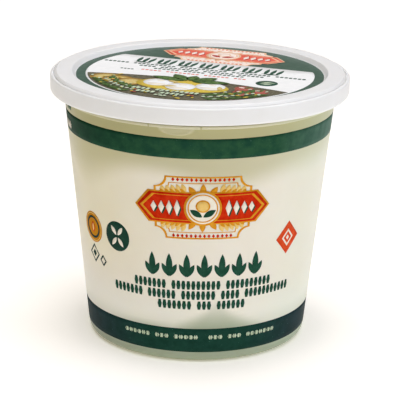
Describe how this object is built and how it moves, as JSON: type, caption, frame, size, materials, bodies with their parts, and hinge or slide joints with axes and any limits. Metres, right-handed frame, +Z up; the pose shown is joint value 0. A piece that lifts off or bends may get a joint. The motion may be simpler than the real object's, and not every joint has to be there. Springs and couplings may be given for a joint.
{
  "type": "lidded tub of burrata cheese",
  "caption": "Shut round tapered milky plastic tub with a white press-fit lid, a round label in the lid's recess, and soft burrata cheese balls pressed together inside.",
  "frame": {"origin": "middle of the foot, on the surface that the tub stands on", "axes": "+Z up through the lid, -Y out of the front of the print, +X to the right of the print"},
  "size_m": [0.12, 0.12, 0.1084],
  "materials": {
    "tub_plastic": null,
    "lid_plastic": "opaque white polypropylene, fine satin",
    "label_film": "printed label film: dark green field with a white and a dark food-coloured zone",
    "cheese": "smooth, moist, soft fresh cheese"
  },
  "bodies": {
    "root": {"tub": "tub_plastic", "lid": "lid_plastic", "lid_label": "label_film", "ball_front_left": "cheese", "ball_front_right": "cheese", "ball_back_right": "cheese", "ball_back_left": "cheese"}
  },
  "joints": []
}
